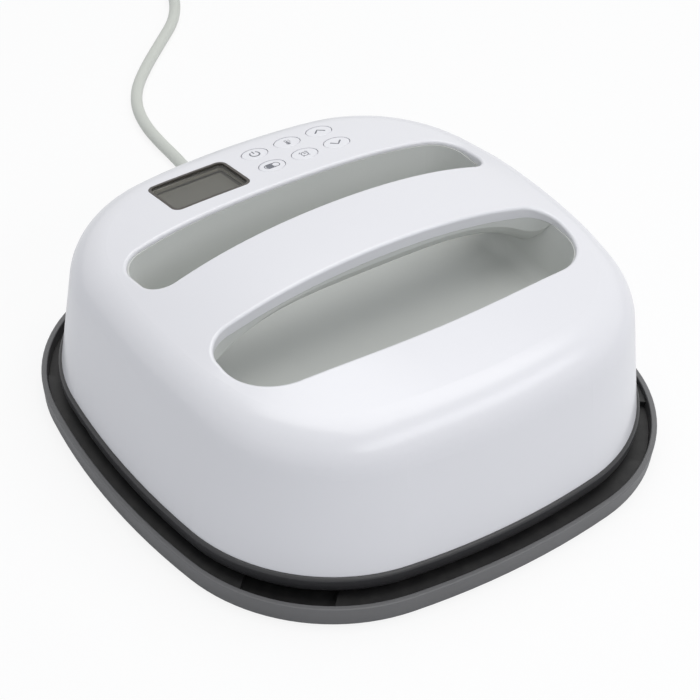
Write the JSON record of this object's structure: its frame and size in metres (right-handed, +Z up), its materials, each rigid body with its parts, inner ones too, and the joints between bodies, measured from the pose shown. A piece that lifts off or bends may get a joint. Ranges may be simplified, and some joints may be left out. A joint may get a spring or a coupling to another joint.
{
  "type": "handheld heat press",
  "caption": "Rounded square handheld heat press with a recessed grab handle, display and keys, on a low safety base, with its mains cord coiled behind it.",
  "frame": {"origin": "on the table, at the centre of the safety base's feet", "axes": "+X to the user's right, +Y to the back where the cord leaves, +Z up"},
  "size_m": [0.4007, 0.6709, 0.1238],
  "materials": {
    "shell_white": "satin white moulding",
    "tub_green": "satin grey-green moulding",
    "housing_black": "heat resistant black moulding",
    "base_grey": "fine grained dark grey moulding",
    "liner_black": "heat resistant black liner",
    "mat_silicone": "silicone heat mat",
    "foot_rubber": "soft rubber",
    "plate_coat": "cast aluminium with non-stick coating",
    "sheath_steel": "heat tinted steel sheath",
    "ceramic": "glazed white ceramic",
    "wool": "mineral wool blanket",
    "sheet_steel": "galvanised sheet",
    "screw_steel": "plated steel",
    "key_white": "satin key caps with printed symbols",
    "bezel_dark": "dark frame",
    "window_smoke": "smoked clear window",
    "lcd_grey": "liquid crystal glass",
    "frame_plastic": "moulded holder",
    "circuit_green": "solder mask",
    "part_black": "moulded components",
    "part_blue": "moulded components",
    "part_yellow": "taped winding",
    "socket_white": "moulded connectors",
    "sink_aluminium": "extruded",
    "fuse_glass": "glass fuse tube",
    "post_brass": "turned",
    "lead_insulation": "insulated leads",
    "cord_white": "smooth white cord sheath",
    "plug_white": "moulded plug",
    "pin_brass": "nickel plated pins",
    "tie_black": "hook and loop strap"
  },
  "bodies": {
    "safety_base": {"tray_shell": "base_grey", "tray_liner": "liner_black", "tray_mat": "mat_silicone", "tray_feet": "foot_rubber", "tray_screws": "screw_steel", "power_cord": "cord_white", "cord_coil": "cord_white", "cord_tail": "cord_white", "cord_tie": "tie_black", "plug_body": "plug_white", "plug_pins": "pin_brass"},
    "press": {"lower_housing": "housing_black", "housing_screws": "screw_steel", "heat_plate": "plate_coat", "heating_element": "sheath_steel", "ceramic_bushes": "ceramic", "insulation_blanket": "wool", "heat_shield": "sheet_steel", "plate_standoffs": "post_brass", "plate_screws": "screw_steel", "temperature_probe": "sheath_steel", "thermal_fuse": "sheath_steel", "fuse_clip": "sheet_steel", "top_shell": "shell_white", "hand_tub": "tub_green", "handle_underside": "tub_green", "tub_screws": "screw_steel", "display_bezel": "bezel_dark", "display_window": "window_smoke", "lcd_panel": "lcd_grey", "lcd_frame": "frame_plastic", "control_board": "circuit_green", "board_screws": "screw_steel", "tact_switches": "part_black", "buzzer": "part_black", "power_board": "circuit_green", "board_posts": "post_brass", "relay": "part_blue", "transformer": "part_yellow", "terminal_block": "socket_white", "board_sockets": "socket_white", "capacitor": "part_black", "heat_sink": "sink_aluminium", "triac": "part_black", "mains_fuse": "fuse_glass", "fuse_holders": "post_brass", "cord_clamp": "part_black", "clamp_screws": "screw_steel", "strain_relief": "cord_white", "cord_entry": "cord_white", "mains_leads": "lead_insulation", "heater_leads": "lead_insulation", "probe_lead": "lead_insulation", "ribbon_cable": "socket_white"},
    "power_key_body": {"power_key": "key_white"},
    "temperature_key_body": {"temperature_key": "key_white"},
    "up_key_body": {"up_key": "key_white"},
    "units_key_body": {"units_key": "key_white"},
    "timer_key_body": {"timer_key": "key_white"},
    "down_key_body": {"down_key": "key_white"}
  },
  "joints": [
    {"name": "press_lift", "type": "slide", "parent": "safety_base", "child": "press", "axis": [0, 0, 1], "range_m": [0, 0.12]},
    {"name": "power_key_push", "type": "slide", "parent": "press", "child": "power_key_body", "axis": [-0.0006, -0.1712, -0.9852], "range_m": [0, 0.0005], "stiffness_N_per_m": 600},
    {"name": "temperature_key_push", "type": "slide", "parent": "press", "child": "temperature_key_body", "axis": [-0.0061, -0.1712, -0.9852], "range_m": [0, 0.0005], "stiffness_N_per_m": 600},
    {"name": "up_key_push", "type": "slide", "parent": "press", "child": "up_key_body", "axis": [-0.0243, -0.1711, -0.985], "range_m": [0, 0.0005], "stiffness_N_per_m": 600},
    {"name": "units_key_push", "type": "slide", "parent": "press", "child": "units_key_body", "axis": [-0.0006, -0.1457, -0.9893], "range_m": [0, 0.0005], "stiffness_N_per_m": 600},
    {"name": "timer_key_push", "type": "slide", "parent": "press", "child": "timer_key_body", "axis": [-0.0061, -0.1457, -0.9893], "range_m": [0, 0.0005], "stiffness_N_per_m": 600},
    {"name": "down_key_push", "type": "slide", "parent": "press", "child": "down_key_body", "axis": [-0.0244, -0.1456, -0.989], "range_m": [0, 0.0005], "stiffness_N_per_m": 600}
  ]
}
